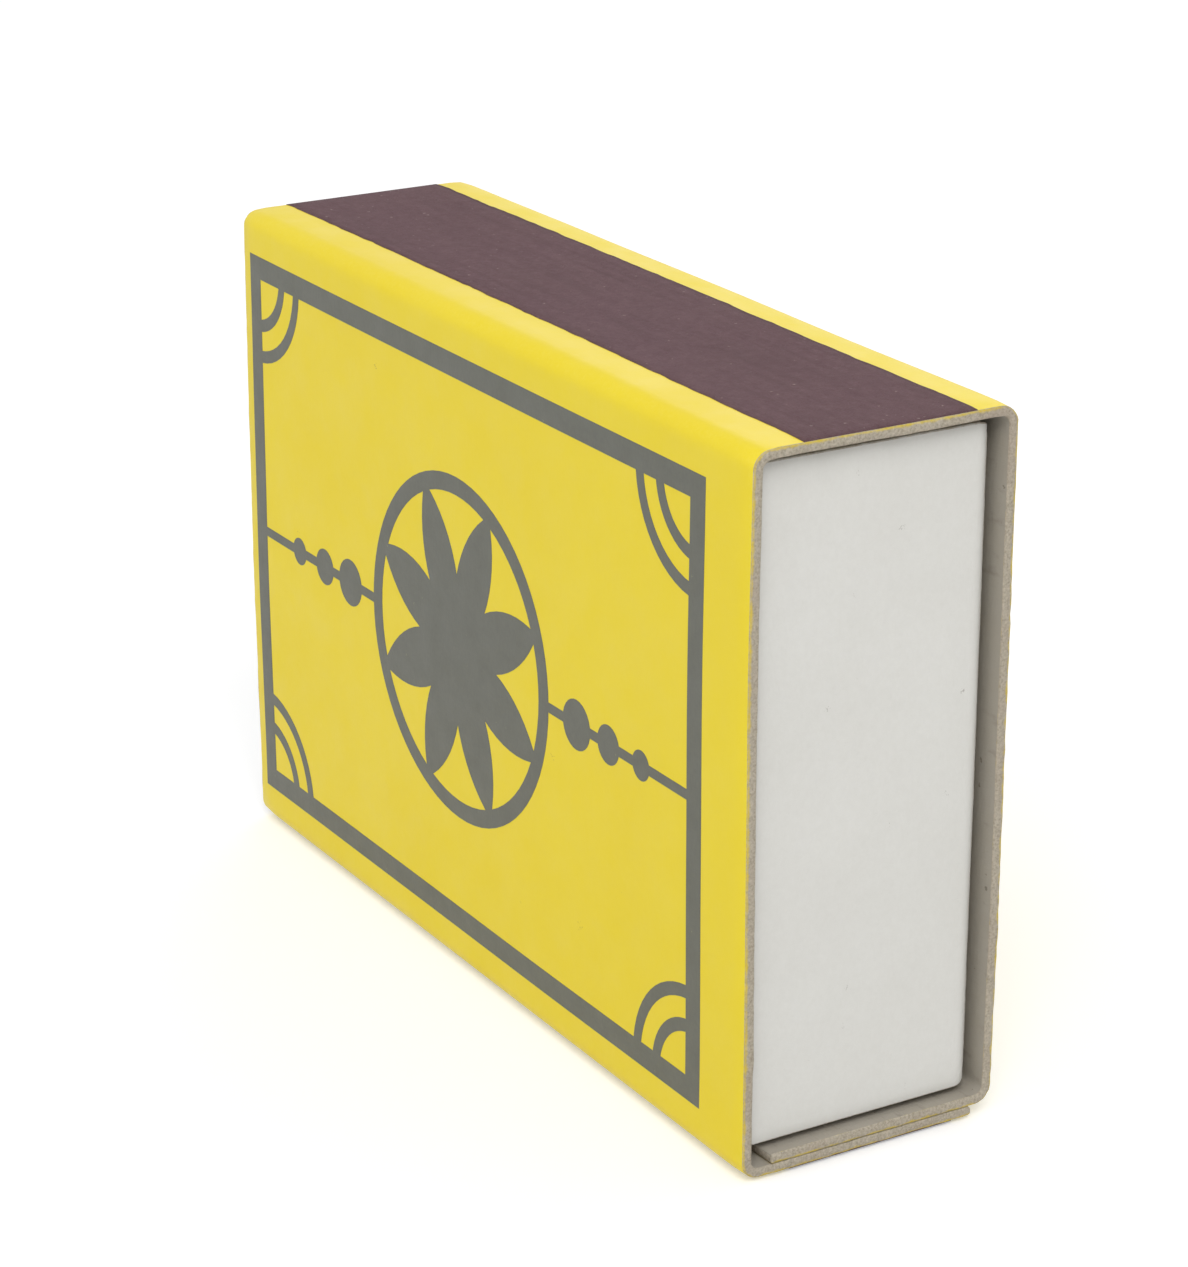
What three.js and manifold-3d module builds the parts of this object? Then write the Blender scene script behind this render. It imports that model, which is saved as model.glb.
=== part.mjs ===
// A card matchbox: a printed sleeve, open at both ends, around a folded tray full of wooden safety matches.
// Millimetres. The box stands on one striker side: +Z is up, +X runs along the tray's slide, and the front
// label faces -Y. The origin is the middle of the box's footprint.
import * as THREE from "three";
import { mergeVertices } from "three/addons/utils/BufferGeometryUtils.js";
import Module from "manifold-3d";

const wasm = await Module();
wasm.setup();

// The box over everything, with its print and its striker coats.
const boxLength = 53;
const boxDepth = 15;
const boxHeight = 37.3;

// How far a cutting block reaches past the surface it cuts.
const overshoot = 1;

// Sleeve: one strip of board with four folds, glued double along its lower side.
const inkThickness = 0.05;
const coatThickness = 0.1;
const sleeveCard = 0.5;
const sleeveFold = 1.0;
const glueFlapInset = 1.2;
const seamInset = 1.3;

// Striker coats, printed along the two narrow sides with yellow margins.
const strikerFrontMargin = 2.8;
const strikerBackMargin = 2.4;

// Tray: one blank with double end walls.
const trayRecess = 0.8;
const trayFrontClearance = 0.25;
const trayBackClearance = 0.4;
const trayHeightClearance = 0.4;
const trayCard = 0.4;
const trayFold = 0.9;
const tabLength = 10;
const panelFold = 0.75;
const rimNotch = 0.7;
const rimNotchDepth = 0.5;
const flapFootGap = 0.3;

// Matches.
const matchCount = 38;
const matchEndPlay = 4.2;
const matchEndGap = 0.6;
const stickWidth = 1.95;
const headDiameter = 2.75;
const headLength = 4.2;
const splintInHead = 0.35;
const headProfile = [
  [0, 0],
  [0, 0.45],
  [0.3, 0.86],
  [0.62, 1],
  [0.86, 0.78],
  [0.97, 0.38],
  [1, 0],
];
const matchClearance = 0.06;
const matchGirthSpread = 0.035;
const matchTilt = 0.2;
const matchRoll = 35;
const pileWallGap = 0.15;

// Label print: a border on both faces, and a ring of petals with beaded rules inside the front one.
const borderWidth = 48.2;
const borderHeight = 32.5;
const borderLine = 1.3;
const borderShift = -1.5;
const ringRadius = 9.6;
const ringLine = 1.0;
const petalCount = 8;
const petalWidth = 3.3;
const hubRadius = 2.1;
const ruleLine = 0.55;
const beadRadii = [1.35, 1.05, 0.8];
const beadPitch = 3.1;
const firstBead = 0.9;
const cornerArcs = [3.4, 5.2];
const cornerLine = 0.7;
const ringSides = 72;
const discSides = 28;
const arcSteps = 14;

const paint = {
  board: { color: 0xe6d23c, roughness: 0.45 },
  ink: { color: 0x5f6058, roughness: 0.5 },
  coat: { color: 0x5d4144, roughness: 0.95 },
  tray: { color: 0xd8d7d2, roughness: 0.8 },
  match: { color: 0xdcbd8a, roughness: 0.75 },
};

const material = (look) => new THREE.MeshStandardMaterial({ ...look, metalness: 0 });

// What follows from the sizes above.
const front = -boxDepth / 2 + inkThickness;
const back = boxDepth / 2 - inkThickness;
const bottom = coatThickness;
const top = boxHeight - coatThickness;
const innerFold = sleeveFold - sleeveCard;
const flapTop = bottom + 2 * sleeveCard;

const tray = {
  end: boxLength / 2 - trayRecess,
  rim: front + sleeveCard + trayFrontClearance,
  floor: back - sleeveCard - trayBackClearance,
  low: flapTop + trayHeightClearance,
  high: top - sleeveCard - trayHeightClearance,
};

const matchLength = 2 * (tray.end - 3 * trayCard) - matchEndPlay;

// A geometry as a closed solid, on a grid of a ten-thousandth so that mating faces meet exactly.
function solid(geometry) {
  const bare = geometry.clone();
  bare.deleteAttribute("normal");
  bare.deleteAttribute("uv");
  const places = bare.attributes.position.array;
  places.forEach((value, i) => (places[i] = Math.round(value * 1e4) / 1e4));
  const merged = mergeVertices(bare, 1e-5);
  return new wasm.Manifold(
    new wasm.Mesh({
      numProp: 3,
      vertProperties: new Float32Array(merged.attributes.position.array),
      triVerts: new Uint32Array(merged.index.array),
    }),
  );
}

function geometryOf(made) {
  const mesh = made.getMesh();
  const geometry = new THREE.BufferGeometry();
  geometry.setAttribute("position", new THREE.BufferAttribute(new Float32Array(mesh.vertProperties), 3));
  geometry.setIndex(new THREE.BufferAttribute(new Uint32Array(mesh.triVerts), 1));
  geometry.computeVertexNormals();
  return geometry;
}

const union = (solids) => solids.reduce((all, one) => all.add(one));

function named(name, made, look) {
  const mesh = new THREE.Mesh(geometryOf(made), material(look));
  mesh.name = name;
  return mesh;
}

// The corner of an outline, rounded: from one direction to the next about a centre.
function corner(path, x, y, radius, fromDegrees, toDegrees, steps = 6) {
  for (let i = 0; i <= steps; i++) {
    const angle = THREE.MathUtils.degToRad(fromDegrees + ((toDegrees - fromDegrees) * i) / steps);
    path.push(new THREE.Vector2(x + radius * Math.cos(angle), y + radius * Math.sin(angle)));
  }
}

// An outline drawn in (y, z), made into a bar along X.
function barAlongX(outline, holes, from, to) {
  const shape = new THREE.Shape(outline);
  shape.holes = holes.map((hole) => new THREE.Path(hole));
  const geometry = new THREE.ExtrudeGeometry(shape, { depth: to - from, bevelEnabled: false, steps: 1 });
  const turn = new THREE.Matrix4().set(0, 0, 1, from, 1, 0, 0, 0, 0, 1, 0, 0, 0, 0, 0, 1);
  return solid(geometry.applyMatrix4(turn));
}

// An outline drawn in (x, y), made into a bar along Z.
function barAlongZ(outline, from, to) {
  const geometry = new THREE.ExtrudeGeometry(new THREE.Shape(outline), {
    depth: to - from,
    bevelEnabled: false,
    steps: 1,
  });
  return solid(geometry.translate(0, 0, from));
}

function block(x0, x1, y0, y1, z0, z1) {
  const geometry = new THREE.BoxGeometry(x1 - x0, y1 - y0, z1 - z0);
  return solid(geometry.translate((x0 + x1) / 2, (y0 + y1) / 2, (z0 + z1) / 2));
}

// The sleeve's section: the outer panel of its lower side runs back from the front fold to a cut edge,
// over the glue flap that turns in from the back wall.
function makeSleeve() {
  const outer = [];
  corner(outer, front + sleeveFold, bottom + sleeveFold, sleeveFold, 180, 270);
  outer.push(new THREE.Vector2(back - seamInset, bottom));
  outer.push(new THREE.Vector2(back - seamInset, bottom + sleeveCard));
  corner(outer, back - sleeveFold, bottom + sleeveCard + sleeveFold, sleeveFold, 270, 360);
  corner(outer, back - sleeveFold, top - sleeveFold, sleeveFold, 0, 90);
  corner(outer, front + sleeveFold, top - sleeveFold, sleeveFold, 90, 180);
  const inner = [];
  corner(inner, front + sleeveFold, bottom + sleeveFold, innerFold, 180, 270);
  inner.push(new THREE.Vector2(front + sleeveCard + glueFlapInset, bottom + sleeveCard));
  inner.push(new THREE.Vector2(front + sleeveCard + glueFlapInset, flapTop));
  corner(inner, back - sleeveFold, flapTop + innerFold, innerFold, 270, 360);
  corner(inner, back - sleeveFold, top - sleeveFold, innerFold, 0, 90);
  corner(inner, front + sleeveFold, top - sleeveFold, innerFold, 90, 180);
  return named("sleeve", barAlongX(outer, [inner], -boxLength / 2, boxLength / 2), paint.board);
}

function makeStriker(name, z0) {
  const made = block(
    -boxLength / 2,
    boxLength / 2,
    front + strikerFrontMargin,
    back - strikerBackMargin,
    z0,
    z0 + coatThickness,
  );
  return named(name, made, paint.coat);
}

// Tray: a trough along X with three-layer end walls. The outer panel folds over the rim and comes back
// down inside as a flap, and the side walls' glue tabs stand between the two near each corner.
function makeTray() {
  const { end, rim, floor, low, high } = tray;
  const trough = [new THREE.Vector2(rim, low)];
  corner(trough, floor - trayFold, low + trayFold, trayFold, 270, 360);
  corner(trough, floor - trayFold, high - trayFold, trayFold, 0, 90);
  trough.push(new THREE.Vector2(rim, high));
  const plan = [];
  corner(plan, -end + trayCard, rim + trayCard, trayCard, 180, 270, 4);
  corner(plan, end - trayCard, rim + trayCard, trayCard, 270, 360, 4);
  corner(plan, end - panelFold, floor - panelFold, panelFold, 0, 90, 4);
  corner(plan, -end + panelFold, floor - panelFold, panelFold, 90, 180, 4);
  const blank = barAlongX(trough, [], -end, end).intersect(barAlongZ(plan, low, high));

  const innerTrayFold = trayFold - trayCard;
  const hollow = [new THREE.Vector2(rim - trayCard, low + trayCard)];
  corner(hollow, floor - trayFold, low + trayFold, innerTrayFold, 270, 360);
  corner(hollow, floor - trayFold, high - trayFold, innerTrayFold, 0, 90);
  hollow.push(new THREE.Vector2(rim - trayCard, high - trayCard));
  const tabFace = end - 2 * trayCard;
  let made = blank.subtract(barAlongX(hollow, [], -tabFace, tabFace));
  for (const side of [-1, 1]) {
    made = made.subtract(endSlot(side)).add(endFlap(side));
    for (const [z0, z1] of [
      [low - overshoot, low + trayCard + rimNotch],
      [high - trayCard - rimNotch, high + overshoot],
    ])
      made = made.subtract(
        alongSide(
          side,
          tabFace - 2 * trayCard,
          end + overshoot,
          rim - overshoot,
          rim + rimNotchDepth,
          z0,
          z1,
        ),
      );
  }
  return named("tray", made, paint.tray);
}

// A block whose ends along X are given for the +X end, or mirrored to the other.
function alongSide(side, x0, x1, y0, y1, z0, z1) {
  return side > 0 ? block(x0, x1, y0, y1, z0, z1) : block(-x1, -x0, y0, y1, z0, z1);
}

// The space between panel and flap, in the middle where no tab fills it.
function endSlot(side) {
  const { end, rim, floor, low, high } = tray;
  return alongSide(
    side,
    end - 2 * trayCard,
    end - trayCard,
    rim + trayCard,
    floor - trayCard,
    low + tabLength,
    high - tabLength,
  );
}

// The flap, from the rim's fold down to its foot, a little clear of the floor and of the side walls.
function endFlap(side) {
  const { end, rim, floor, low, high } = tray;
  const face = end - 2 * trayCard;
  const flap = [];
  corner(flap, face, rim + trayCard, trayCard, 180, 270, 4);
  flap.push(new THREE.Vector2(face, floor - trayCard - flapFootGap));
  flap.push(new THREE.Vector2(face - trayCard, floor - trayCard - flapFootGap));
  const placed = side > 0 ? flap : flap.map((point) => new THREE.Vector2(-point.x, point.y));
  return barAlongZ(placed, low + trayCard + rimNotch, high - trayCard - rimNotch);
}

// Matches: a square splint with a dipped head, drawn along X about its middle.
function makeMatchSolid() {
  const half = matchLength / 2;
  const stickEnd = half - headLength * splintInHead;
  const stick = block(-half, stickEnd, -stickWidth / 2, stickWidth / 2, -stickWidth / 2, stickWidth / 2);
  const profile = headProfile.map(
    ([along, out]) => new THREE.Vector2((out * headDiameter) / 2, half - headLength * (1 - along)),
  );
  const head = new THREE.LatheGeometry(profile, 9).rotateZ(-Math.PI / 2);
  return stick.add(solid(head));
}

// A repeatable run of numbers from 0 to 1.
function makeRandom(seed) {
  let state = seed;
  return () => {
    state = (state * 16807) % 2147483647;
    return state / 2147483647;
  };
}

// The place of a round of radius r that rests on two others, above and between them, or null.
function placeOnTwo(a, b, r) {
  const ra = a.r + r;
  const rb = b.r + r;
  const dy = b.y - a.y;
  const dz = b.z - a.z;
  const apart = Math.hypot(dy, dz);
  if (apart > ra + rb || apart < 1e-6) return null;
  const along = (ra * ra - rb * rb + apart * apart) / (2 * apart);
  const across = Math.sqrt(Math.max(ra * ra - along * along, 0));
  const sign = dy > 0 ? 1 : -1;
  return {
    y: a.y + (along * dy - sign * across * dz) / apart,
    z: a.z + (along * dz + sign * across * dy) / apart,
  };
}

// The matches as they lie in the standing box: each in turn takes the lowest place that is free,
// on the tray's lower wall, against its floor or open side, or on two others.
function settleMatches() {
  const random = makeRandom(20817);
  const tiltReach = (matchLength / 2) * Math.sin(THREE.MathUtils.degToRad(matchTilt));
  const girth = Math.max(stickWidth / Math.SQRT2, headDiameter / 2) + tiltReach + matchClearance / 2;
  const yLow = tray.rim + pileWallGap;
  const yHigh = tray.floor - trayCard - pileWallGap;
  const zLow = tray.low + trayCard + pileWallGap;
  const zHigh = tray.high - trayCard - pileWallGap;
  const pile = [];
  while (pile.length < matchCount) {
    const r = girth * (1 + matchGirthSpread * random());
    const places = [
      { y: yLow + r, z: zLow + r },
      { y: yHigh - r, z: zLow + r },
    ];
    for (const a of pile) {
      const level = Math.sqrt(Math.max((a.r + r) ** 2 - (a.z - zLow - r) ** 2, 0));
      places.push({ y: a.y - level, z: zLow + r }, { y: a.y + level, z: zLow + r });
      for (const y of [yLow + r, yHigh - r]) {
        const rise = (a.r + r) ** 2 - (y - a.y) ** 2;
        if (rise > 0) places.push({ y, z: a.z + Math.sqrt(rise) });
      }
      for (const b of pile) {
        const place = a === b ? null : placeOnTwo(a, b, r);
        if (place) places.push(place);
      }
    }
    const fits = (p) =>
      p.y >= yLow + r - 1e-6 &&
      p.y <= yHigh - r + 1e-6 &&
      p.z >= zLow + r - 1e-6 &&
      p.z <= zHigh - r &&
      pile.every((q) => Math.hypot(p.y - q.y, p.z - q.z) >= q.r + r - 1e-6);
    const free = places.filter(fits).sort((p, q) => p.z - q.z);
    if (!free.length) break;
    pile.push({ ...free[0], r });
  }
  const degrees = (most) => THREE.MathUtils.degToRad(most * (2 * random() - 1));
  return pile.map((place) => ({
    ...place,
    x: (matchEndPlay / 2 - matchEndGap) * (2 * random() - 1),
    roll: degrees(matchRoll),
    pitch: degrees(matchTilt / Math.SQRT2),
    yaw: degrees(matchTilt / Math.SQRT2),
  }));
}

function makeMatches() {
  const shared = geometryOf(makeMatchSolid());
  const pile = new THREE.Group();
  settleMatches().forEach((place, i) => {
    const mesh = new THREE.Mesh(shared, material(paint.match));
    mesh.name = `match_${String(i + 1).padStart(2, "0")}`;
    mesh.position.set(place.x, place.y, place.z);
    mesh.rotation.set(place.roll, place.pitch, place.yaw, "ZYX");
    pile.add(mesh);
  });
  return pile;
}

// Print: flat shapes drawn in the label's plane, joined and given the ink's thickness.
function printed(shapes, name, y0) {
  const options = { depth: inkThickness, bevelEnabled: false };
  const flat = union(shapes.map((shape) => solid(new THREE.ExtrudeGeometry(shape, options))));
  const standing = geometryOf(flat)
    .rotateX(Math.PI / 2)
    .translate(0, y0 + inkThickness, boxHeight / 2);
  return named(name, solid(standing), paint.ink);
}

function rectanglePoints(u0, u1, v0, v1) {
  return [
    new THREE.Vector2(u0, v0),
    new THREE.Vector2(u1, v0),
    new THREE.Vector2(u1, v1),
    new THREE.Vector2(u0, v1),
  ];
}

function discPoints(u, v, radius, sides) {
  const points = [];
  corner(points, u, v, radius, 0, 360, sides);
  return points.slice(1);
}

function withHole(outline, hole) {
  const shape = new THREE.Shape(outline);
  shape.holes.push(new THREE.Path(hole));
  return shape;
}

function borderShape(middle) {
  const frame = (inset) =>
    rectanglePoints(
      middle - borderWidth / 2 + inset,
      middle + borderWidth / 2 - inset,
      -borderHeight / 2 + inset,
      borderHeight / 2 - inset,
    );
  return withHole(frame(0), frame(borderLine));
}

// A petal from the hub to the ring, bounded by two arcs.
function petalShape(angle) {
  const half = (ringRadius - ringLine / 2) / 2;
  const arcRadius = (half * half + (petalWidth / 2) ** 2) / petalWidth;
  const spread = THREE.MathUtils.radToDeg(Math.asin(half / arcRadius));
  const points = [];
  const sag = arcRadius - petalWidth / 2;
  corner(points, half, sag, arcRadius, 270 - spread, 270 + spread, arcSteps);
  points.pop();
  corner(points, half, -sag, arcRadius, 90 - spread, 90 + spread, arcSteps);
  points.pop();
  const origin = new THREE.Vector2();
  const middle = new THREE.Vector2(borderShift, 0);
  return new THREE.Shape(points.map((point) => point.rotateAround(origin, angle).add(middle)));
}

// A quarter ring in one of the border's inner corners.
function cornerShape(sideU, sideV, radius) {
  const u = borderShift + (sideU * (borderWidth - borderLine)) / 2;
  const v = (sideV * (borderHeight - borderLine)) / 2;
  const start = sideV < 0 ? 45 + 45 * sideU : 225 - 45 * sideU;
  const points = [];
  corner(points, u, v, radius + cornerLine / 2, start, start + 90, arcSteps);
  corner(points, u, v, radius - cornerLine / 2, start + 90, start, arcSteps);
  return new THREE.Shape(points);
}

function makeFrontPrint() {
  const ring = withHole(
    discPoints(borderShift, 0, ringRadius, ringSides),
    discPoints(borderShift, 0, ringRadius - ringLine, ringSides),
  );
  const hub = new THREE.Shape(discPoints(borderShift, 0, hubRadius, discSides));
  const shapes = [borderShape(borderShift), ring, hub];
  for (let i = 0; i < petalCount; i++) shapes.push(petalShape((2 * Math.PI * (i + 0.5)) / petalCount));
  const ruleStart = ringRadius - ringLine / 2;
  const ruleEnd = (borderWidth - borderLine) / 2;
  for (const side of [-1, 1]) {
    const [u0, u1] = side > 0 ? [ruleStart, ruleEnd] : [-ruleEnd, -ruleStart];
    const rule = rectanglePoints(borderShift + u0, borderShift + u1, -ruleLine / 2, ruleLine / 2);
    shapes.push(new THREE.Shape(rule));
    beadRadii.forEach((radius, i) => {
      const u = borderShift + side * (ringRadius + beadPitch * (i + firstBead));
      shapes.push(new THREE.Shape(discPoints(u, 0, radius, discSides)));
    });
    for (const up of [-1, 1]) for (const radius of cornerArcs) shapes.push(cornerShape(side, up, radius));
  }
  return printed(shapes, "label_print_front", -boxDepth / 2);
}

const box = new THREE.Group();
const sleeve = new THREE.Group();
sleeve.add(
  makeSleeve(),
  makeStriker("striker_coat_top", top),
  makeStriker("striker_coat_bottom", 0),
  makeFrontPrint(),
  printed([borderShape(-borderShift)], "label_print_back", boxDepth / 2 - inkThickness),
);
const drawer = new THREE.Group();
drawer.add(makeTray(), makeMatches());
box.add(sleeve, drawer);

export default box;
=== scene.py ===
"""The matchbox's looks: folded board with its print, striker coats and raw edges, a white-lined tray,
and the matches in it. Lengths here are in millimetres, and each mesh is written in metres."""

import math

import bmesh
import bpy
import numpy as np
from mathutils import Matrix, Vector, noise


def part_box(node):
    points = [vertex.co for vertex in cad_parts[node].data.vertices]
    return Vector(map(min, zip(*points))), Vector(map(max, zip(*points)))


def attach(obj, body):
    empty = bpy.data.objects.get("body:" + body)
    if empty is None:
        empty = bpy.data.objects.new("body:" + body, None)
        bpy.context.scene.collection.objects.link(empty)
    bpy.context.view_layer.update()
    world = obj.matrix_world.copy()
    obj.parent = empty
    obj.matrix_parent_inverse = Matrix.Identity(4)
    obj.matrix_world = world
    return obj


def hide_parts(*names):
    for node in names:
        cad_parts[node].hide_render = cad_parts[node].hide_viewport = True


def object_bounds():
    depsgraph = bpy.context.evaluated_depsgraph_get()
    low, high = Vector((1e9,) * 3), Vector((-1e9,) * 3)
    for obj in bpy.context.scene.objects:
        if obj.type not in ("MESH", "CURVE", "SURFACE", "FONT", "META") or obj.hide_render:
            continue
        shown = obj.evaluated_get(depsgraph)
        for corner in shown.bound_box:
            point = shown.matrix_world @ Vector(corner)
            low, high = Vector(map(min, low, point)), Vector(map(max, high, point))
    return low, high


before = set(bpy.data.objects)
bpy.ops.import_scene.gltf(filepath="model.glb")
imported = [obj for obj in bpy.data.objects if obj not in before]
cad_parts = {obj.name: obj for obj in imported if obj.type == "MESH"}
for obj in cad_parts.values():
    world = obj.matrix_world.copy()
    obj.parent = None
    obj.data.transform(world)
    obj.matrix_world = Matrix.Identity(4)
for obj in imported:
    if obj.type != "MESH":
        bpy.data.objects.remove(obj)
cad_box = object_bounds()

MM = 0.001

# Board and folds, as the solids have them.
SLEEVE_CARD = 0.5
SLEEVE_FOLD = 1.0
SEAM_INSET = 1.3
GLUE_FLAP_INSET = 1.2
GLUE_LINE = 0.03
TRAY_CARD = 0.4
TRAY_FOLD = 0.9
TRAY_PANEL_FOLD = 0.75
TRAY_RIM_NOTCH = 0.7
TRAY_NOTCH_DEPTH = 0.5
TRAY_FLAP_FOOT = 0.3
TRAY_TAB = 10.0
TAB_PANEL_GAP = 0.005
TAB_FLOOR_GAP = 0.05
TAB_CARD = TRAY_CARD - 0.02
STICK_WIDTH = 1.95
HEAD_DIAMETER = 2.75
HEAD_LENGTH = 4.2

# How far print and coat stand off the board, and how far they sink into it.
INK_PROUD = 0.012
COAT_PROUD = 0.06
COAT_END_GAP = 0.06
SUNK = 0.03

# Mesh spacing. A cut edge has EDGE_POINTS points round it, and a line past a fold starts FOLD_GAP on.
STEP_ALONG = 1.0
STEP_ACROSS = 0.5
COAT_ROWS = 22
FOLD_STEPS = 8
FOLD_GAP = 0.1
EDGE_POINTS = 5

# How a cut edge is rounded and how far wear reaches from it, and the share of it on a sharp fold, which on
# the yellow print also lays a painted highlight along the fold.
EDGE_ROUND = 0.07
EDGE_SQUEEZE = 0.72
EDGE_WEAR_REACH = 0.10
FOLD_WEAR = 0.42

# Colours, as sRGB bytes.
YELLOW = (229, 206, 36)
YELLOW_DEEP = (224, 196, 20)
INK = (86, 87, 78)
STRIKER = (101, 76, 81)
STRIKER_PALE = (134, 109, 113)
WHITE_LINER = (219, 218, 213)
BOARD_GREY = (162, 156, 145)
BOARD_DARK = (128, 120, 110)
EDGE_BEIGE = (194, 184, 166)
EDGE_DARK = (156, 146, 130)
WOOD = (228, 203, 158)
WOOD_DARK = (201, 166, 113)
HEAD = (104, 42, 34)
HEAD_DARK = (66, 26, 23)

# The camera's place from the box's middle, from the photograph's perspective.
CAMERA_OFFSET = (157.7, -93.7, 67.9)
CAMERA_LENS = 104

# Light: each lamp's place from the box's middle, its power in watts and its size. The world lights the
# object at WORLD_LIGHT, and FLOOR_LIFT is added to the floor where it is seen, to meet the white behind it.
LAMPS = {
    "key": ((420, -200, 520), 2.75, 420),
    "fill": ((-120, -600, 300), 0.95, 520),
    "back": ((-420, 480, 380), 1.1, 520),
}
WORLD_LIGHT = 0.50
FLOOR_LIFT = 0.30
FLOOR_HALF = 3000
FLOOR_LEVEL = -0.03


def linear(rgb):
    """An sRGB byte colour as Blender's linear RGBA."""
    parts = [c / 255 for c in rgb]
    curved = [c / 12.92 if c <= 0.04045 else ((c + 0.055) / 1.055) ** 2.4 for c in parts]
    return (*curved, 1.0)


def corners(node):
    """A CAD node's lowest and highest corners, in millimetres."""
    low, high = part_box(node)
    return low / MM, high / MM


def ripple(x, y, z, size, seed=0.0):
    """Smooth noise from -1 to 1 whose waves are about size long."""
    return noise.noise(Vector((x / size + seed, y / size - 2 * seed, z / size + 3 * seed)))


# Node graphs


class Graph:
    """A material's node tree, with short calls for the nodes used here."""

    def __init__(self, name):
        self.material = bpy.data.materials.new(name)
        self.material.use_nodes = True
        self.tree = self.material.node_tree
        self.shader = self.tree.nodes["Principled BSDF"]
        self.place = self.add("TexCoord").outputs["Object"]

    def add(self, kind, inputs=(), **settings):
        made = self.tree.nodes.new("ShaderNode" + kind)
        for name, value in settings.items():
            setattr(made, name, value)
        for socket, value in dict(inputs).items():
            self.feed(made.inputs[socket], value)
        return made

    def feed(self, socket, value):
        if isinstance(value, bpy.types.NodeSocket):
            self.tree.links.new(value, socket)
        else:
            socket.default_value = value

    def stretched(self, sx, sy, sz):
        return self.add("Mapping", {"Vector": self.place, "Scale": (sx, sy, sz)}).outputs[0]

    def noise(self, size, detail=4.0, roughness=0.55, vector=None, distortion=0.0):
        """Noise with features of about size millimetres."""
        inputs = {
            "Vector": vector or self.place,
            "Scale": 1 / (size * MM),
            "Detail": detail,
            "Roughness": roughness,
            "Distortion": distortion,
        }
        return self.add("TexNoise", inputs).outputs[0]

    def ramp(self, value, low, high, out_low=0.0, out_high=1.0):
        inputs = {"Value": value, "From Min": low, "From Max": high, "To Min": out_low, "To Max": out_high}
        return self.add("MapRange", inputs).outputs[0]

    def math(self, operation, a, b=0.0):
        made = self.add("Math", operation=operation)
        self.feed(made.inputs[0], a)
        self.feed(made.inputs[1], b)
        return made.outputs[0]

    def mix(self, share, a, b):
        """a, or b where share is 1. A Mix node's colours are its inputs 6 and 7 and its output 2."""
        made = self.add("Mix", data_type="RGBA")
        self.feed(made.inputs[0], share)
        self.feed(made.inputs[6], a)
        self.feed(made.inputs[7], b)
        return made.outputs[2]

    def wear(self):
        return self.add("Attribute", attribute_name="wear").outputs["Fac"]

    def bump(self, height, depth, under=None):
        """A bump of depth millimetres, laid over another one if under is given."""
        made = self.add("Bump", {"Height": height, "Distance": depth * MM})
        if under is not None:
            self.feed(made.inputs["Normal"], under)
        return made.outputs[0]

    def finish(self, colour, roughness, normal, specular=0.5):
        self.feed(self.shader.inputs["Base Color"], colour)
        self.feed(self.shader.inputs["Roughness"], roughness)
        self.feed(self.shader.inputs["Normal"], normal)
        self.shader.inputs["Specular IOR Level"].default_value = specular
        return self.material


def specks(g, size, spacing, share):
    """A mask of sparse spots, up to size millimetres across, in share of the cells spacing wide."""
    wander = g.add("VectorMath", {1: (0.4 * spacing * MM,) * 3}, operation="MULTIPLY")
    jitter = g.add("TexNoise", {"Vector": g.place, "Scale": 2 / (size * MM)})
    g.feed(wander.inputs[0], jitter.outputs["Color"])
    spot = g.add("VectorMath", {0: g.place, 1: wander.outputs[0]}, operation="ADD").outputs[0]
    cells = g.add("TexVoronoi", {"Vector": spot, "Scale": 1 / (spacing * MM)})
    draw = g.add("SeparateColor", {"Color": cells.outputs["Color"]})
    here = g.ramp(draw.outputs[0], 1 - share, 1 - share + 0.001)
    reach = g.math("MULTIPLY", draw.outputs[1], size / spacing / 2)
    beyond = g.math("SUBTRACT", cells.outputs["Distance"], reach)
    near = g.ramp(beyond, 0.02 * size / spacing, -0.1 * size / spacing)
    return g.math("MULTIPLY", here, near)


def fibre_bump(g, depth=0.02):
    """The felt of short fibres that board shows under its coat, crossed in two directions."""
    long_x = g.noise(0.16, 3, vector=g.stretched(0.3, 1, 1))
    long_z = g.noise(0.16, 3, vector=g.stretched(1, 1, 0.3))
    felt = g.math("ADD", g.math("MULTIPLY", long_x, 0.5), g.math("MULTIPLY", long_z, 0.5))
    sag = g.bump(g.noise(3.5, 2), 0.05)
    return g.bump(felt, depth, under=sag)


def yellow_print():
    g = Graph("yellow_print")
    cloud = g.ramp(g.noise(9, 3), 0.35, 0.7)
    mottle = g.ramp(g.noise(0.35, 5, 0.7), 0.3, 0.75)
    base = g.mix(g.math("MULTIPLY", cloud, 0.22), linear(YELLOW), linear(YELLOW_DEEP))
    base = g.mix(g.math("MULTIPLY", mottle, 0.10), base, linear((237, 218, 78)))
    dust = specks(g, 0.3, 3.2, 0.3)
    base = g.mix(g.math("MULTIPLY", dust, 0.6), base, linear((150, 118, 44)))
    worn = g.wear()
    torn = g.noise(0.22, 6, 0.75)
    bare = g.ramp(g.math("ADD", worn, g.ramp(torn, 0.25, 0.75, -0.5, 0.5)), 0.80, 0.98)
    base = g.mix(bare, base, linear(EDGE_BEIGE))
    # Paler yellow along folds and cut edges: partly the whitening of creased board, partly a painted
    # highlight along the folds.
    crease_wear_and_highlight = g.ramp(g.math("ADD", worn, g.ramp(torn, 0.25, 0.75, -0.4, 0.4)), 0.35, 0.9)
    base = g.mix(g.math("MULTIPLY", crease_wear_and_highlight, 0.18), base, linear((240, 225, 118)))
    roughness = g.ramp(g.noise(2.2, 4), 0.3, 0.7, 0.40, 0.52)
    return g.finish(base, roughness, fibre_bump(g, 0.012), 0.3)


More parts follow.
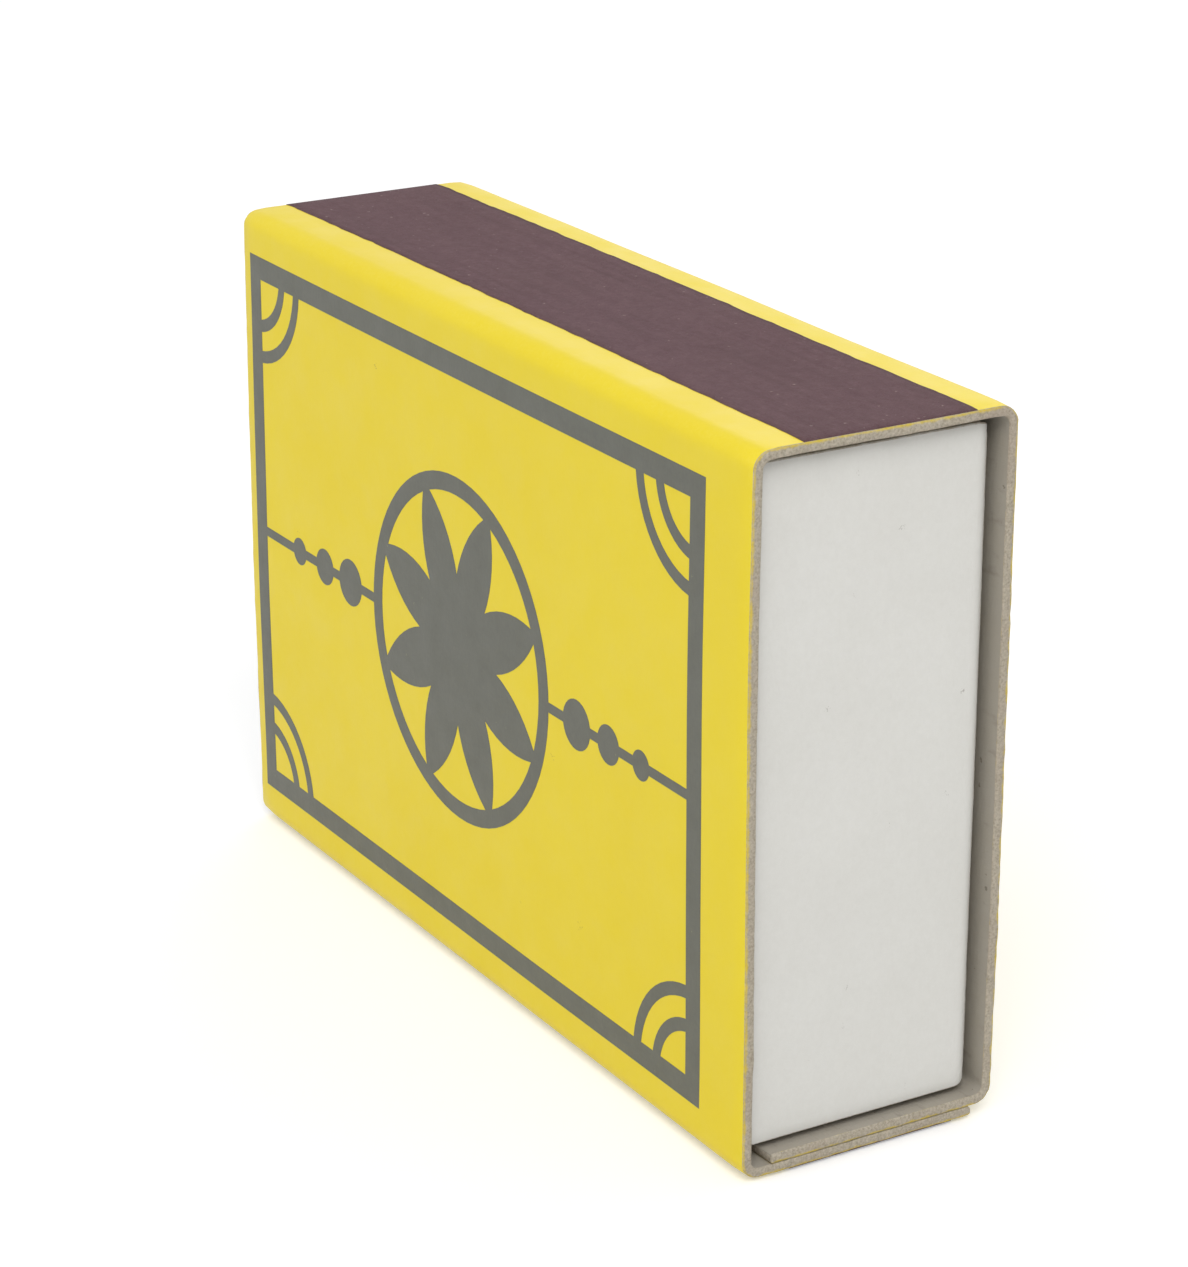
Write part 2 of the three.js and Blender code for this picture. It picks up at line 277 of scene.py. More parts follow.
def printed_ink():
    g = Graph("printed_ink")
    mottle = g.ramp(g.noise(0.3, 5, 0.7), 0.3, 0.75)
    base = g.mix(g.math("MULTIPLY", mottle, 0.35), linear(INK), linear((104, 104, 92)))
    base = g.mix(g.math("MULTIPLY", specks(g, 0.16, 1.0, 0.3), 0.45), base, linear((150, 146, 112)))
    roughness = g.ramp(g.noise(1.5, 4), 0.3, 0.7, 0.40, 0.52)
    return g.finish(base, roughness, fibre_bump(g, 0.012), 0.45)


def striker_coat():
    g = Graph("striker_coat")
    grit = g.noise(0.11, 4, 0.7)
    streak = g.noise(0.5, 3, vector=g.stretched(0.06, 1, 1))
    cloud = g.ramp(g.noise(5, 3), 0.3, 0.7)
    blotch = g.ramp(g.noise(0.7, 5, 0.75), 0.35, 0.7)
    sand = g.ramp(g.noise(0.32, 4, 0.75), 0.38, 0.68)
    base = g.mix(g.ramp(grit, 0.35, 0.7, 0.0, 0.5), linear(STRIKER), linear(STRIKER_PALE))
    base = g.mix(g.math("MULTIPLY", sand, 0.4), base, linear(STRIKER_PALE))
    base = g.mix(g.math("MULTIPLY", blotch, 0.35), base, linear((84, 61, 66)))
    base = g.mix(g.ramp(streak, 0.45, 0.75, 0.0, 0.3), base, linear((80, 60, 62)))
    base = g.mix(g.math("MULTIPLY", cloud, 0.2), base, linear((112, 90, 90)))
    # Pale specks painted into the coat's colour as glints: a painted highlight on its grit.
    painted_glints = specks(g, 0.18, 0.5, 0.45)
    base = g.mix(g.math("MULTIPLY", painted_glints, 0.55), base, linear((172, 152, 148)))
    roughness = g.ramp(grit, 0.3, 0.7, 0.75, 0.95)
    return g.finish(base, roughness, g.bump(grit, 0.06, under=g.bump(sand, 0.05)), 0.12)


def white_liner():
    g = Graph("white_liner")
    cloud = g.ramp(g.noise(6, 4), 0.35, 0.7)
    base = g.mix(g.math("MULTIPLY", cloud, 0.25), linear(WHITE_LINER), linear((206, 204, 197)))
    fibres = g.ramp(g.noise(0.35, 6, 0.75), 0.35, 0.75)
    base = g.mix(g.math("MULTIPLY", fibres, 0.16), base, linear((190, 187, 178)))
    base = g.mix(g.math("MULTIPLY", specks(g, 0.22, 1.9, 0.5), 0.55), base, linear((140, 134, 124)))
    base = g.mix(g.math("MULTIPLY", specks(g, 0.36, 4.5, 0.35), 0.5), base, linear((150, 138, 118)))
    torn = g.noise(0.25, 6, 0.75)
    bare = g.ramp(g.math("ADD", g.wear(), g.ramp(torn, 0.25, 0.75, -0.5, 0.5)), 0.80, 1.0)
    base = g.mix(g.math("MULTIPLY", bare, 0.8), base, linear(BOARD_GREY))
    roughness = g.ramp(g.noise(1.2, 4), 0.3, 0.7, 0.68, 0.82)
    return g.finish(base, roughness, fibre_bump(g, 0.022), 0.35)


def raw_board():
    g = Graph("raw_board")
    cloud = g.ramp(g.noise(2.4, 5, 0.65), 0.3, 0.7)
    base = g.mix(cloud, linear(BOARD_GREY), linear((160, 153, 140)))
    flecks = g.ramp(g.noise(0.5, 3, vector=g.stretched(0.25, 1, 0.6)), 0.6, 0.72)
    base = g.mix(g.math("MULTIPLY", flecks, 0.45), base, linear(BOARD_DARK))
    base = g.mix(g.math("MULTIPLY", specks(g, 0.25, 0.8, 0.5), 0.6), base, linear((92, 84, 74)))
    base = g.mix(g.math("MULTIPLY", specks(g, 0.3, 1.3, 0.4), 0.5), base, linear((196, 190, 178)))
    return g.finish(base, 0.9, fibre_bump(g, 0.05), 0.25)


def cut_edge(name, face):
    """The board's raw edge, tinted by the outer face's colour where the knife has dragged it over."""
    g = Graph(name)
    layers = g.ramp(g.noise(0.13, 4, 0.6), 0.35, 0.7)
    base = g.mix(layers, linear(EDGE_BEIGE), linear(EDGE_DARK))
    pale = g.ramp(g.noise(0.5, 5, 0.7), 0.5, 0.75)
    base = g.mix(g.math("MULTIPLY", pale, 0.5), base, linear((214, 206, 191)))
    stain = g.ramp(g.noise(4, 3), 0.5, 0.75)
    base = g.mix(g.math("MULTIPLY", stain, 0.35), base, linear((170, 152, 136)))
    patchy = g.ramp(g.noise(0.8, 5, 0.7), 0.3, 0.7, -0.35, 0.35)
    dragged = g.ramp(g.math("ADD", g.wear(), patchy), 0.45, 1.0)
    base = g.mix(g.math("MULTIPLY", dragged, 0.75), base, linear(face))
    return g.finish(base, 0.95, g.bump(g.noise(0.12, 4, 0.7), 0.09), 0.2)


def match_wood():
    g = Graph("match_wood")
    grain = g.noise(0.22, 4, 0.6, vector=g.stretched(0.02, 1, 1))
    bands = g.ramp(g.noise(1.6, 2, vector=g.stretched(0.03, 1, 1)), 0.35, 0.65)
    base = g.mix(bands, linear(WOOD), linear((219, 188, 138)))
    base = g.mix(g.ramp(grain, 0.55, 0.75, 0.0, 0.6), base, linear(WOOD_DARK))
    base = g.mix(g.math("MULTIPLY", specks(g, 0.3, 3.0, 0.2), 0.4), base, linear((170, 130, 84)))
    return g.finish(base, 0.72, g.bump(grain, 0.05), 0.3)


def match_head():
    g = Graph("match_head")
    lumps = g.noise(0.35, 5, 0.65)
    base = g.mix(g.ramp(lumps, 0.35, 0.7), linear(HEAD), linear(HEAD_DARK))
    base = g.mix(g.math("MULTIPLY", specks(g, 0.15, 0.4, 0.4), 0.5), base, linear((150, 86, 70)))
    return g.finish(base, g.ramp(lumps, 0.3, 0.7, 0.55, 0.8), g.bump(lumps, 0.12), 0.4)


# Meshes


def make_object(name, vertices, faces, materials, face_materials=None, wear=None, smooth=True):
    mesh = bpy.data.meshes.new(name)
    mesh.from_pydata([Vector(v) * MM for v in vertices], [], faces)
    for one in materials:
        mesh.materials.append(one)
    if face_materials is not None:
        mesh.polygons.foreach_set("material_index", face_materials)
    if wear is not None:
        layer = mesh.attributes.new("wear", "FLOAT", "POINT")
        layer.data.foreach_set("value", np.array(wear, np.float32))
    rounded = smooth if isinstance(smooth, list) else [smooth] * len(faces)
    mesh.polygons.foreach_set("use_smooth", rounded)
    mesh.update()
    tidy = bmesh.new()
    tidy.from_mesh(mesh)
    bmesh.ops.recalc_face_normals(tidy, faces=tidy.faces)
    tidy.to_mesh(mesh)
    tidy.free()
    made = bpy.data.objects.new(name, mesh)
    bpy.context.scene.collection.objects.link(made)
    return made


def settle(piece, body, node):
    """Hangs a piece on the body it rides on and hides the CAD node that it stands for."""
    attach(piece, body)
    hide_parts(node)


class Strip:
    """The line that a strip of board follows in its section: its mid-surface and outward normals.
    curl is how hard the board bends there, from 0 to 1, thin how much an end is squeezed, and width
    half the board's width there where it isn't the full one."""

    def __init__(self):
        self.points = []

    def add(self, a, b, na, nb, curl=0.0, width=None):
        self.points.append({"a": a, "b": b, "na": na, "nb": nb, "curl": curl, "thin": 1.0, "width": width})

    def line(self, a0, b0, a1, b1, normal, spacing, width=None):
        count = max(1, round(math.hypot(a1 - a0, b1 - b0) / spacing))
        for i in range(count + 1):
            t = i / count
            self.add(a0 + (a1 - a0) * t, b0 + (b1 - b0) * t, *normal, width=width)

    def bend(self, a, b, radius, start, end, steps=FOLD_STEPS, width=None):
        for i in range(1, steps):
            t = i / steps
            angle = math.radians(start + (end - start) * t)
            na, nb = math.cos(angle), math.sin(angle)
            self.add(a + radius * na, b + radius * nb, na, nb, math.sin(math.pi * t), width)

    def pinch_ends(self):
        """Rounds the two ends by one small squeezed step each."""
        for end, inner in ((0, 1), (-1, -2)):
            last, other = self.points[end], self.points[inner]
            reach = math.hypot(other["a"] - last["a"], other["b"] - last["b"])
            share = EDGE_ROUND / reach
            extra = dict(last)
            extra["a"] += (other["a"] - last["a"]) * share
            extra["b"] += (other["b"] - last["b"]) * share
            last["thin"] = EDGE_SQUEEZE
            self.points.insert(1 if end == 0 else len(self.points) - 1, extra)


def edge_ring(half_length, card, spacing):
    """The strip's section across its line, as (along, off the mid-surface, zone), where the zone is
    0 outside, 1 on the cut edge and 2 inside."""
    half, cut, shoulder = card / 2, EDGE_ROUND, 0.3 * EDGE_ROUND
    count = max(2, round(2 * half_length / spacing))
    inner_length = half_length - cut
    row = [-inner_length + 2 * inner_length * i / count for i in range(count + 1)]
    ring = [(u, half, 0) for u in row]
    far = [(half_length - shoulder, half - shoulder), (half_length, half - cut), (half_length, 0.0)]
    far += [(half_length, cut - half), (half_length - shoulder, shoulder - half)]
    ring += [(u, t, 1) for u, t in far]
    ring += [(u, -half, 2) for u in reversed(row)]
    ring += [(-u, t, 1) for u, t in reversed(far)]
    return ring, count + 1


def sweep(strip, half_length, card, place, warp, spacing=STEP_ALONG):
    """A closed sheet of board along a strip. place turns (along, a, b) into a point, and warp moves it.
    wear tells the materials how near a cut edge or fold is, and on a cut edge how far out a point is."""
    strip.pinch_ends()
    ring, row = edge_ring(half_length, card, spacing)
    vertices, wear = [], []
    for sample in strip.points:
        scale = 1.0 if sample["width"] is None else sample["width"] / half_length
        for u, t, zone in ring:
            off = t * sample["thin"]
            point = place(u * scale, sample["a"] + sample["na"] * off, sample["b"] + sample["nb"] * off)
            normal = place(0, sample["na"], sample["nb"]) - place(0, 0, 0)
            near = half_length - abs(u)
            vertices.append(warp(point, normal, near, zone))
            if zone == 1:
                wear.append(max(0.0, 2 * t / card))
            else:
                wear.append(max(math.exp(-near / EDGE_WEAR_REACH), FOLD_WEAR * sample["curl"]))
    size, past_edge = len(ring), EDGE_POINTS + 1
    faces, zones = [], []
    for i in range(len(strip.points) - 1):
        for j in range(size):
            k = (j + 1) % size
            faces.append((i * size + j, (i + 1) * size + j, (i + 1) * size + k, i * size + k))
            zones.append(max(ring[j][2] % 2, ring[k][2] % 2) or ring[j][2])
    for base in (0, (len(strip.points) - 1) * size):
        for j in range(row - 1):
            mirror = size - past_edge - j
            faces.append((base + j, base + j + 1, base + mirror - 1, base + mirror))
            zones.append(1)
        faces.append(tuple(base + j for j in range(row - 1, row + past_edge)))
        faces.append(tuple(base + j % size for j in range(size - past_edge, size + 1)))
        zones += [1, 1]
    return vertices, faces, zones, wear


def lengthwise(along, a, b):
    """Places a strip whose width runs along the box."""
    return Vector((along, a, b))


def joined(parts):
    """Several (vertices, faces, zones, wear) as one."""
    vertices, faces, zones, wear = [], [], [], []
    for v, f, z, w in parts:
        start = len(vertices)
        vertices += v
        faces += [tuple(start + i for i in face) for face in f]
        zones += z
        wear += w
    return vertices, faces, zones, wear


# Sleeve

sleeve_low, sleeve_high = corners("sleeve")
FRONT, BACK = sleeve_low.y, sleeve_high.y
BOTTOM, TOP = sleeve_low.z, sleeve_high.z
HALF_LENGTH = sleeve_high.x
WALL_WAVE = {"side": 0.10, "top": 0.07, "bottom": 0.02}
WALL_BOW = 0.05
MOUTH_OPENING = 0.10
MOUTH_TUCK = 0.08


def sleeve_swell(x, y, z):
    """How far the sleeve's walls stand off the flat, outwards: slow waves, a slight bow, a little
    more towards the two mouths, where handling has opened them, and a tuck at their cut edges."""
    middle = (BOTTOM + TOP) / 2
    low = max(0.0, min(1.0, (z - BOTTOM) / 4))
    flat_wall = abs(y) < BACK - SLEEVE_FOLD
    wall = "side"
    if flat_wall:
        wall = "top" if z > middle else "bottom"
    slow = ripple(x, y, z, 17, 1.7)
    mouth = math.exp(-(HALF_LENGTH - abs(x)) / 4)
    loose = 0.5 + 0.5 * ripple(x, y, z, 9, 5.1)
    bow = WALL_BOW * math.cos(math.pi * x / (2 * HALF_LENGTH))
    height = max(0.0, min(1.0, (z - BOTTOM) / (TOP - BOTTOM)))
    across = 0.6 if flat_wall else math.sin(math.pi * height)
    tuck = MOUTH_TUCK * math.exp(-(HALF_LENGTH - abs(x)) / 0.6)
    opening = MOUTH_OPENING * mouth * loose
    return (WALL_WAVE[wall] * slow + (bow + opening) * across) * low - tuck


def warp_sleeve(point, normal, near, zone):
    swell = sleeve_swell(*point)
    ragged = 0.0
    if zone == 1:
        rough = ripple(*point, 0.45, 2.3) + ripple(*point, 0.16, 8.9)
        ragged = 0.05 * rough + 0.10 * ripple(*point, 6, 4.4)
    return point + normal * swell + Vector((math.copysign(ragged, point.x), 0, 0))


def build_sleeve(materials):
    half = SLEEVE_CARD / 2
    radius = SLEEVE_FOLD - half
    flap = BOTTOM + SLEEVE_CARD + GLUE_LINE
    strip = Strip()
    strip.line(BACK - SEAM_INSET, BOTTOM + half, FRONT + SLEEVE_FOLD, BOTTOM + half, (0, -1), STEP_ACROSS)
    strip.bend(FRONT + SLEEVE_FOLD, BOTTOM + SLEEVE_FOLD, radius, 270, 180)
    strip.line(FRONT + half, BOTTOM + SLEEVE_FOLD, FRONT + half, TOP - SLEEVE_FOLD, (-1, 0), STEP_ACROSS)
    strip.bend(FRONT + SLEEVE_FOLD, TOP - SLEEVE_FOLD, radius, 180, 90)
    strip.line(FRONT + SLEEVE_FOLD, TOP - half, BACK - SLEEVE_FOLD, TOP - half, (0, 1), STEP_ACROSS)
    strip.bend(BACK - SLEEVE_FOLD, TOP - SLEEVE_FOLD, radius, 90, 0)
    strip.line(BACK - half, TOP - SLEEVE_FOLD, BACK - half, flap + SLEEVE_FOLD, (1, 0), STEP_ACROSS)
    strip.bend(BACK - SLEEVE_FOLD, flap + SLEEVE_FOLD, radius, 0, -90)
    flap_end = FRONT + SLEEVE_CARD + GLUE_FLAP_INSET
    strip.line(BACK - SLEEVE_FOLD, flap + half, flap_end, flap + half, (0, -1), STEP_ACROSS)
    vertices, faces, zones, wear = sweep(strip, HALF_LENGTH, SLEEVE_CARD, lengthwise, warp_sleeve)
    piece = make_object("sleeve_card", vertices, faces, materials, zones, wear)
    settle(piece, "sleeve", "sleeve")


def build_label(name, node, side, ink):
    """A label's ink: the CAD print's outline, cut fine enough to lie on the sleeve's swelling wall."""
    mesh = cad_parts[node].data.copy()
    mesh.name = name
    fine = bmesh.new()
    fine.from_mesh(mesh)
    bmesh.ops.remove_doubles(fine, verts=fine.verts, dist=0.002 * MM)
    bmesh.ops.dissolve_limit(fine, angle_limit=0.001, verts=fine.verts, edges=fine.edges)
    bmesh.ops.triangulate(fine, faces=fine.faces)
    low, high = corners(node)
    for axis, start, end in (((1, 0, 0), low.x, high.x), ((0, 0, 1), low.z, high.z)):
        for i in range(1, int((end - start) / STEP_ALONG) + 1):
            spot = Vector(axis) * (start + i * STEP_ALONG) * MM
            everything = fine.verts[:] + fine.edges[:] + fine.faces[:]
            bmesh.ops.bisect_plane(fine, geom=everything, plane_co=spot, plane_no=axis, dist=1e-7)
    bmesh.ops.remove_doubles(fine, verts=fine.verts, dist=0.003 * MM)
    bmesh.ops.dissolve_degenerate(fine, edges=fine.edges, dist=0.001 * MM)
    wall = FRONT if side < 0 else BACK
    outer = low.y if side < 0 else high.y
    for vertex in fine.verts:
        x, y, z = vertex.co / MM
        share = 1 - abs(y - outer) / (high.y - low.y)
        rise = (INK_PROUD + SUNK) * share - SUNK
        vertex.co.y = (wall + side * (sleeve_swell(x, wall, z) + rise)) * MM
    fine.to_mesh(mesh)
    fine.free()
    mesh.materials.clear()
    mesh.materials.append(ink)
    mesh.polygons.foreach_set("use_smooth", [False] * len(mesh.polygons))
    piece = bpy.data.objects.new(name, mesh)
    bpy.context.scene.collection.objects.link(piece)
    settle(piece, "sleeve", node)


def build_striker(name, node, side, coat):
    """A striker coat with slightly ragged long edges, from one cut edge of the sleeve to the other.
    The lower coat reaches down to height 0, where it carries the box."""
    low, high = corners(node)
    wall = TOP if side > 0 else BOTTOM
    end = HALF_LENGTH - COAT_END_GAP
    columns = round(2 * end / (STEP_ALONG / 2))
    rows = COAT_ROWS
    proud = COAT_PROUD if side > 0 else wall
    vertices, faces = [], []
    for layer in (proud, -SUNK):
        for i in range(columns + 1):
            x = -end + 2 * end * i / columns
            edges = []
            for edge, seed in ((low.y, 3.0), (high.y, 7.0)):
                ragged = 0.07 * ripple(x, edge, 0, 1.1, seed) + 0.05 * ripple(x, edge, 0, 0.4, seed)
                edges.append(edge + ragged)
            for j in range(rows + 1):
                y = edges[0] + (edges[1] - edges[0]) * j / rows
                swell = sleeve_swell(x, y, wall)
                ridge = min(j, rows - j) == 0 or min(i, columns - i) == 0
                rise = layer * (0.55 if ridge and layer > 0 else 1.0)
                vertices.append(Vector((x, y, wall + side * (swell + rise))))
    row = rows + 1
    sheet = row * (columns + 1)
    for i in range(columns):
        for j in range(rows):
            a = i * row + j
            faces.append((a, a + 1, a + row + 1, a + row))
            faces.append((sheet + a, sheet + a + row, sheet + a + row + 1, sheet + a + 1))
    rim = list(range(rows)) + [i * row + rows for i in range(columns)]
    rim += [columns * row + j for j in range(rows, 0, -1)] + [i * row for i in range(columns, 0, -1)]
    for k, a in enumerate(rim):
        b = rim[(k + 1) % len(rim)]
        faces.append((a, sheet + a, sheet + b, b))
    piece = make_object(name, vertices, faces, [coat])
    settle(piece, "sleeve", node)


# Tray

tray_low, tray_high = corners("tray")

# How far round the rim's fold, in degrees, the end panel still narrows towards its flap.
TAPER_TURN = 70


def warp_tray(point, normal, near, zone):
    wave = 0.05 * ripple(*point, 12, 9.3)
    fine = 0.012 * ripple(*point, 0.5, 6.1) if zone == 1 else 0.0
    return point + normal * wave + Vector((fine, fine, fine))


def tray_trough():
    """The tray's floor and its two long walls, one strip that bends at the two long folds."""
    rim, floor = tray_low.y, tray_high.y
    low, high = tray_low.z, tray_high.z
    half = TRAY_CARD / 2
    radius = TRAY_FOLD - half
    strip = Strip()
    strip.line(rim, low + half, floor - TRAY_FOLD, low + half, (0, -1), STEP_ACROSS)
    strip.bend(floor - TRAY_FOLD, low + TRAY_FOLD, radius, 270, 360)
    strip.line(floor - half, low + TRAY_FOLD, floor - half, high - TRAY_FOLD, (1, 0), STEP_ACROSS)
    strip.bend(floor - TRAY_FOLD, high - TRAY_FOLD, radius, 0, 90)
    strip.line(floor - TRAY_FOLD, high - half, rim, high - half, (0, 1), STEP_ACROSS)
    return sweep(strip, tray_high.x - TRAY_CARD, TRAY_CARD, lengthwise, warp_tray)


def tray_end(side):
    """One end wall: the outer panel, the fold over the rim and the flap inside, narrower past the notch."""
    end, rim, floor = tray_high.x, tray_low.y, tray_high.y
    full = (tray_high.z - tray_low.z) / 2
    middle = (tray_high.z + tray_low.z) / 2
    narrow = full - TRAY_CARD - TRAY_RIM_NOTCH
    half = TRAY_CARD / 2
    radius = TRAY_PANEL_FOLD - half
    notch = rim + TRAY_NOTCH_DEPTH

    def width(y):
        """Half the panel's width: round at the two corners beside the floor."""
        into = max(0.0, y - (floor - TRAY_FOLD))
        return full - (TRAY_FOLD - math.sqrt(max(0.0, TRAY_FOLD**2 - into**2)))

    strip = Strip()
    for i in range(FOLD_STEPS + 1):
        angle = math.radians(90 - 90 * i / FOLD_STEPS)
        y = floor - TRAY_PANEL_FOLD + radius * math.sin(angle)
        x = end - TRAY_PANEL_FOLD + radius * math.cos(angle)
        strip.add(x, y, math.cos(angle), math.sin(angle), 0.5, width(y))
    past_fold = floor - TRAY_PANEL_FOLD - FOLD_GAP
    strip.line(end - half, past_fold, end - half, notch, (1, 0), STEP_ACROSS, full)
    for i in range(FOLD_STEPS + 1):
        angle = -90 * i / FOLD_STEPS
        turn = math.radians(angle)
        width_here = full - (full - narrow) * (1 - math.cos(min(1.0, -angle / TAPER_TURN) * math.pi / 2))
        x = end - TRAY_CARD + half * math.cos(turn)
        y = rim + TRAY_CARD + half * math.sin(turn)
        strip.add(x, y, math.cos(turn), math.sin(turn), 0.5 * math.sin(-2 * turn), width_here)
    strip.add(end - 2 * TRAY_CARD, rim + half, 0, -1, 0.0, narrow)
    strip.bend(end - 2 * TRAY_CARD, rim + TRAY_CARD, half, -90, -180, 6, narrow)
    foot = floor - TRAY_CARD - TRAY_FLAP_FOOT
    inside = end - 2 * TRAY_CARD - half
    strip.line(inside, rim + TRAY_CARD, inside, foot, (-1, 0), STEP_ACROSS, narrow)

    def place(along, a, b):
        return Vector((side * a, b, middle + along))

    return sweep(strip, full, TRAY_CARD, place, warp_tray, STEP_ALONG / 2)


def tray_tab(side, up):
    """A long wall's glue tab, turned in behind the end panel."""
    low, high = tray_low.y + TRAY_NOTCH_DEPTH, tray_high.y - TRAY_CARD - TAB_FLOOR_GAP
    edge = tray_high.z if up > 0 else tray_low.z
    half = TRAY_CARD / 2
    x = tray_high.x - TRAY_CARD - half - TAB_PANEL_GAP
    strip = Strip()
    strip.line(x, edge - up * half, x, edge - up * TRAY_TAB, (1, 0), STEP_ALONG)

    def place(along, a, b):
        return Vector((side * a, (low + high) / 2 + along, b))

    return sweep(strip, (high - low) / 2, TAB_CARD, place, warp_tray)


def build_tray(materials):
    parts = [tray_trough()]
    for side in (-1, 1):
        parts.append(tray_end(side))
        parts += [tray_tab(side, up) for up in (-1, 1)]
    vertices, faces, zones, wear = joined(parts)
    piece = make_object("tray_card", vertices, faces, materials, zones, wear)
    settle(piece, "tray", "tray")


# Matches

# The splint: its worn corners, its squeezed ends, and how far back from the tip it stops, as a share
# of the head's length.
ARRIS = 0.10
END_BEVEL = 0.05
SPLINT_SQUEEZE = 0.94
SPLINT_BACK = 0.88
SPLINT_STEPS = 18

# The head, with places along it as shares of its length from the skirt to the tip.
HEAD_RINGS = 12
HEAD_SPOKES = 24
SKIRT_COAT = 0.05
SKIRT_END = 0.45
COLLAR_END = 0.55
DOME_START = 0.6
LUMPS_FULL = 0.3


def match_pose(node):
    """A match's middle and its own axes, read from its CAD solid: the four corners at its plain end
    and the tip of its head."""
    found = np.array([v.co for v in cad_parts[node].data.vertices]) / MM
    start, end = found[:, 0].min(), found[:, 0].max()
    tail = np.unique(found[found[:, 0] < start + 0.5].round(3), axis=0)
    tip = Vector(found[found[:, 0].argmax()])
    foot = Vector(tail.mean(axis=0))
    along = (tip - foot).normalized()
    corner = Vector(tail[0]) - foot
    corner = (corner - along * corner.dot(along)).normalized()
    side = (corner + along.cross(corner)).normalized()
    up = along.cross(side)
    turn = Matrix((along, side, up)).transposed()
    return (foot + tip) / 2, turn, end - start


def splint_mesh(length, seed):
    """A split splint with soft arrises and a rough end, that stops inside its head."""
    half, width = length / 2, STICK_WIDTH / 2
    square = []
    for sy, sz in ((1, 1), (-1, 1), (-1, -1), (1, -1)):
        pair = [(sy * width, sz * (width - ARRIS)), (sy * (width - ARRIS), sz * width)]
        square += pair if sy * sz > 0 else pair[::-1]
    reach = length - SPLINT_BACK * HEAD_LENGTH
    stations = [-half]
    stations += [-half + END_BEVEL + reach * i / SPLINT_STEPS for i in range(SPLINT_STEPS + 1)]
    vertices, faces = [], []
    for n, x in enumerate(stations):
        squeeze = SPLINT_SQUEEZE if n == 0 or x > half - HEAD_LENGTH else 1.0
        for y, z in square:
            rough = 0.03 * ripple(x, y * 3, z * 3, 5, seed) if n else 0.02 * ripple(y, z, seed, 0.5)
            along = 0.05 * ripple(y, z, seed, 0.6) if n < 2 else 0.0
            vertices.append(Vector((x + along, y * squeeze + rough, z * squeeze - rough)))
    size = len(square)
    for i in range(len(stations) - 1):
        for j in range(size):
            k = (j + 1) % size
            faces.append((i * size + j, (i + 1) * size + j, (i + 1) * size + k, i * size + k))
    faces.append(tuple(range(size)))
    faces.append(tuple(range(len(vertices) - size, len(vertices))))
    return vertices, faces, [0] * len(faces), []


def head_mesh(length, seed):
    """A dipped head: a ragged skirt that hugs the square splint, then a lumpy round tip."""
    half, width, radius = length / 2, STICK_WIDTH / 2, HEAD_DIAMETER / 2
    vertices, faces = [], []
    for i in range(HEAD_RINGS):
        t = i / HEAD_RINGS
        collar = 0.92 + 0.08 * math.sin(math.pi / 2 * min(1.0, t / COLLAR_END))
        dome = math.sqrt(1 - max(0.0, (t - DOME_START) / (1 - DOME_START)) ** 2)
        here = radius * collar * dome
        x = half - HEAD_LENGTH * (1 - t)
        for j in range(HEAD_SPOKES):
            angle = 2 * math.pi * j / HEAD_SPOKES
            c, s = math.cos(angle), math.sin(angle)
            skirt = min((width + SKIRT_COAT) / max(abs(c), abs(s)), radius)
            swell = skirt + (here - skirt) * min(1.0, t / SKIRT_END) ** 0.7
            lump = (0.05 * ripple(x, c, s, 0.7, seed) - 0.02) * min(1.0, t / LUMPS_FULL)
            frill = 0.22 * ripple(c, s, seed, 0.8) if i == 0 else 0.0
            vertices.append(Vector((x + frill, c * (swell + lump), s * (swell + lump))))
    tip = len(vertices)
    vertices.append(Vector((half, 0, 0)))
    for i in range(HEAD_RINGS - 1):
        for j in range(HEAD_SPOKES):
            a, b = i * HEAD_SPOKES + j, i * HEAD_SPOKES + (j + 1) % HEAD_SPOKES
            faces.append((a, a + HEAD_SPOKES, b + HEAD_SPOKES, b))
    last = tip - HEAD_SPOKES
    for j in range(HEAD_SPOKES):
        faces.append((last + j, tip, last + (j + 1) % HEAD_SPOKES))
    faces.append(tuple(range(HEAD_SPOKES)))
    return vertices, faces, [1] * len(faces), []


def build_match(node, wood, head):
    middle, turn, length = match_pose(node)
    seed = float(node.split("_")[1])
    local, faces, zones, _ = joined((splint_mesh(length, seed), head_mesh(length, seed)))
    vertices = [middle + turn @ v for v in local]
    name = node.replace("match", "safety_match")
    rounded = [zone == 1 for zone in zones]
    piece = make_object(name, vertices, faces, [wood, head], zones, smooth=rounded)
    settle(piece, "tray", node)


# Stage


def background_seen(tree):
    """1 on a ray that shows the background: the camera's own, or one that gloss or glass sends on."""
    path = tree.nodes.new("ShaderNodeLightPath")
    seen = path.outputs["Is Camera Ray"]
    for ray in ("Is Glossy Ray", "Is Transmission Ray"):
        either = tree.nodes.new("ShaderNodeMath")
        either.operation = "MAXIMUM"
        tree.links.new(seen, either.inputs[0])
        tree.links.new(path.outputs[ray], either.inputs[1])
        seen = either.outputs[0]
    return seen


def build_floor():
    """A plain pale floor that keeps the object's shadow."""
    g = Graph("floor")
    g.shader.inputs["Base Color"].default_value = (0.80, 0.80, 0.80, 1)
    g.shader.inputs["Roughness"].default_value = 0.9
    g.shader.inputs["Specular IOR Level"].default_value = 0.1
    g.shader.inputs["Emission Color"].default_value = (1, 1, 1, 1)
    lift = g.math("MULTIPLY", background_seen(g.tree), FLOOR_LIFT)
    g.feed(g.shader.inputs["Emission Strength"], lift)
    signs = ((-1, -1), (1, -1), (1, 1), (-1, 1))
    places = [(sx * FLOOR_HALF, sy * FLOOR_HALF, FLOOR_LEVEL) for sx, sy in signs]
    floor = make_object("floor", places, [(0, 1, 2, 3)], [g.material], smooth=False)


